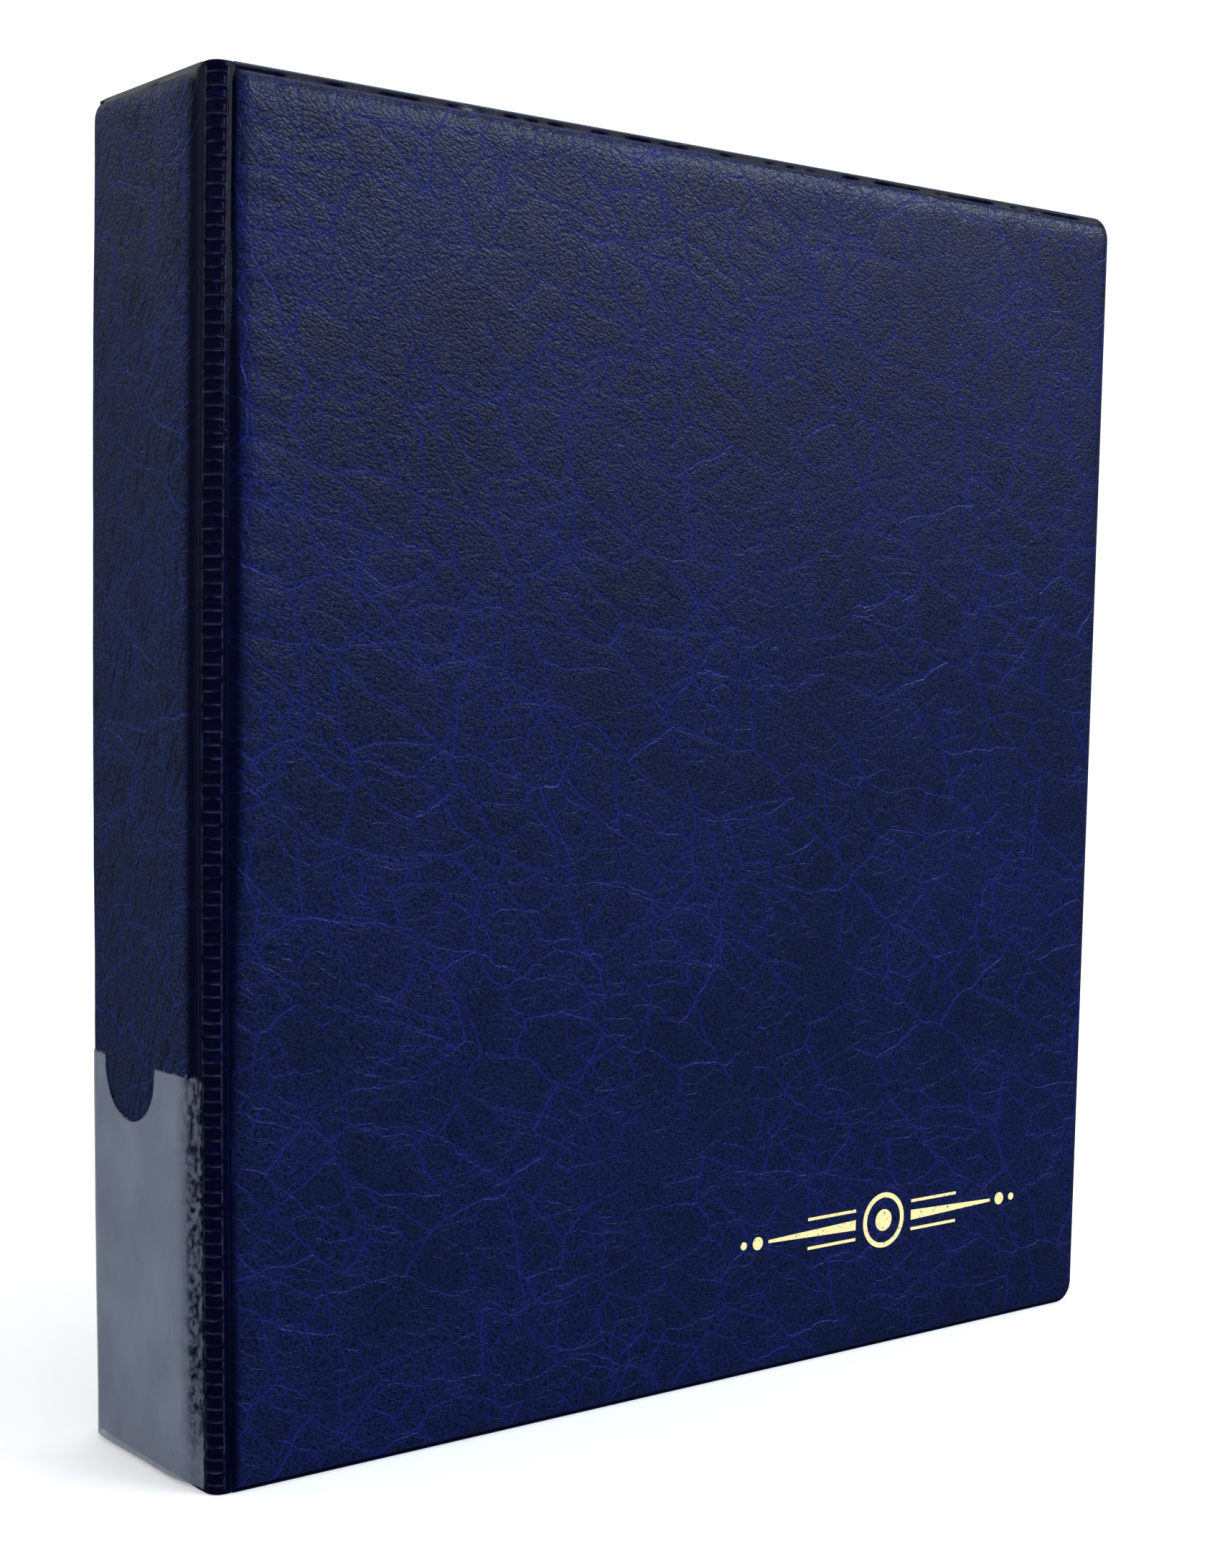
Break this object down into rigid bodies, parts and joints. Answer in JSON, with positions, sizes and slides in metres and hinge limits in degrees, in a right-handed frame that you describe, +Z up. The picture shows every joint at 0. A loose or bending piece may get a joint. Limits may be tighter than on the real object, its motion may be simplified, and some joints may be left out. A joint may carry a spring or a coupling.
{
  "type": "coin album",
  "caption": "Ring binder album for coin pages: welded vinyl covers with ladder hinges, a clear spine pocket, an opening D-ring mechanism and clear pocket pages.",
  "frame": {"origin": "bottom centre of the closed album's bounding box, on the surface it stands on", "axes": "+Z up; +X from the spine to the fore-edge; the front cover faces -Y and the back cover faces +Y"},
  "size_m": [0.2458, 0.0523, 0.27],
  "materials": {
    "outer_vinyl": "embossed two-tone leather grain, satin",
    "hinge_vinyl": "smooth heat-pressed vinyl, semi-gloss",
    "liner_vinyl": "fine matt grain",
    "greyboard": "raw pressed board",
    "clear_film": "clear soft film, slightly hazy",
    "gold_foil": "hot-stamped foil with small flecks missing",
    "nickel_steel": "bright nickel plating",
    "blade_steel": "plain rolled steel",
    "page_strip": "clear stiff film",
    "page_film": "clear soft film with welded pocket lines"
  },
  "bodies": {
    "spine": {"spine_outer_skin": "outer_vinyl", "spine_board": "greyboard", "spine_inner_liner": "liner_vinyl", "spine_label_pocket": "clear_film", "front_hinge_weld": "hinge_vinyl", "back_hinge_weld": "hinge_vinyl"},
    "front_cover": {"front_outer_skin": "outer_vinyl", "front_board": "greyboard", "front_inner_liner": "liner_vinyl", "front_foil_ornament": "gold_foil"},
    "back_cover": {"back_outer_skin": "outer_vinyl", "back_board": "greyboard", "back_inner_liner": "liner_vinyl", "ring_housing": "nickel_steel", "lower_mounting_rivet": "nickel_steel", "upper_mounting_rivet": "nickel_steel"},
    "ring_posts": {"post_carrier_blade": "blade_steel", "ring_1_post": "nickel_steel", "ring_2_post": "nickel_steel", "ring_3_post": "nickel_steel", "ring_4_post": "nickel_steel"},
    "ring_arcs": {"arc_carrier_blade": "blade_steel", "ring_1_arc": "nickel_steel", "ring_2_arc": "nickel_steel", "ring_3_arc": "nickel_steel", "ring_4_arc": "nickel_steel"},
    "lower_trigger": {"lower_trigger": "nickel_steel"},
    "upper_trigger": {"upper_trigger": "nickel_steel"},
    "page_1_strip": {"page_1_strip": "page_strip"},
    "page_1_leaf": {"page_1_leaf": "page_film"},
    "page_2_strip": {"page_2_strip": "page_strip"},
    "page_2_leaf": {"page_2_leaf": "page_film"},
    "page_3_strip": {"page_3_strip": "page_strip"},
    "page_3_leaf": {"page_3_leaf": "page_film"},
    "page_4_strip": {"page_4_strip": "page_strip"},
    "page_4_leaf": {"page_4_leaf": "page_film"}
  },
  "joints": [
    {"name": "front_hinge", "type": "hinge", "parent": "spine", "child": "front_cover", "pos_m": [-0.11947, -0.02295, 0], "axis": [0, 0, -1], "range_deg": [0, 180]},
    {"name": "back_hinge", "type": "hinge", "parent": "spine", "child": "back_cover", "pos_m": [-0.11947, 0.02225, 0], "axis": [0, 0, 1], "range_deg": [0, 180]},
    {"name": "ring_opening", "type": "hinge", "parent": "back_cover", "child": "ring_posts", "pos_m": [-0.07758, 0.02145, 0.135], "axis": [0, 0, 1], "range_deg": [0, 12]},
    {"name": "arc_opening", "type": "hinge", "parent": "back_cover", "child": "ring_arcs", "pos_m": [-0.09857, 0.02145, 0.135], "axis": [0, 0, -1], "range_deg": [0, 12]},
    {"name": "lower_trigger_press", "type": "hinge", "parent": "back_cover", "child": "lower_trigger", "pos_m": [-0.08808, 0.02145, 0.03], "axis": [1, 0, 0], "range_deg": [0, 25]},
    {"name": "upper_trigger_press", "type": "hinge", "parent": "back_cover", "child": "upper_trigger", "pos_m": [-0.08808, 0.02145, 0.24], "axis": [-1, 0, 0], "range_deg": [0, 25]},
    {"name": "page_1_shift", "type": "slide", "parent": "back_cover", "child": "page_1_strip", "axis": [1, 0, 0], "range_m": [0, 0.00247]},
    {"name": "page_1_turn", "type": "hinge", "parent": "page_1_strip", "child": "page_1_leaf", "pos_m": [-0.07087, 0.01005, 0.135], "axis": [0, 0, -1], "range_deg": [0, 20]},
    {"name": "page_2_shift", "type": "slide", "parent": "back_cover", "child": "page_2_strip", "axis": [1, 0, 0], "range_m": [0, 0.00343]},
    {"name": "page_2_turn", "type": "hinge", "parent": "page_2_strip", "child": "page_2_leaf", "pos_m": [-0.07087, 0.00555, 0.135], "axis": [0, 0, -1], "range_deg": [0, 40]},
    {"name": "page_3_shift", "type": "slide", "parent": "back_cover", "child": "page_3_strip", "axis": [1, 0, 0], "range_m": [0, 0.00439]},
    {"name": "page_3_turn", "type": "hinge", "parent": "page_3_strip", "child": "page_3_leaf", "pos_m": [-0.07087, 0.00105, 0.135], "axis": [0, 0, -1], "range_deg": [0, 60]},
    {"name": "page_4_shift", "type": "slide", "parent": "back_cover", "child": "page_4_strip", "axis": [1, 0, 0], "range_m": [0, 0.00534]},
    {"name": "page_4_turn", "type": "hinge", "parent": "page_4_strip", "child": "page_4_leaf", "pos_m": [-0.07087, -0.00345, 0.135], "axis": [0, 0, -1], "range_deg": [0, 112]}
  ],
  "couplings": [
    {"joint": "arc_opening", "follows": "ring_opening", "ratio": 1},
    {"joint": "lower_trigger_press", "follows": "ring_opening", "ratio": 2.0833},
    {"joint": "upper_trigger_press", "follows": "ring_opening", "ratio": 2.0833},
    {"joint": "page_1_shift", "follows": "ring_opening", "m_per_rad": 0.01157},
    {"joint": "page_1_turn", "follows": "front_hinge", "ratio": 0.11111},
    {"joint": "page_2_shift", "follows": "ring_opening", "m_per_rad": 0.016137},
    {"joint": "page_2_turn", "follows": "front_hinge", "ratio": 0.22222},
    {"joint": "page_3_shift", "follows": "ring_opening", "m_per_rad": 0.020704},
    {"joint": "page_3_turn", "follows": "front_hinge", "ratio": 0.33333},
    {"joint": "page_4_shift", "follows": "ring_opening", "m_per_rad": 0.025271},
    {"joint": "page_4_turn", "follows": "front_hinge", "ratio": 0.62222}
  ]
}
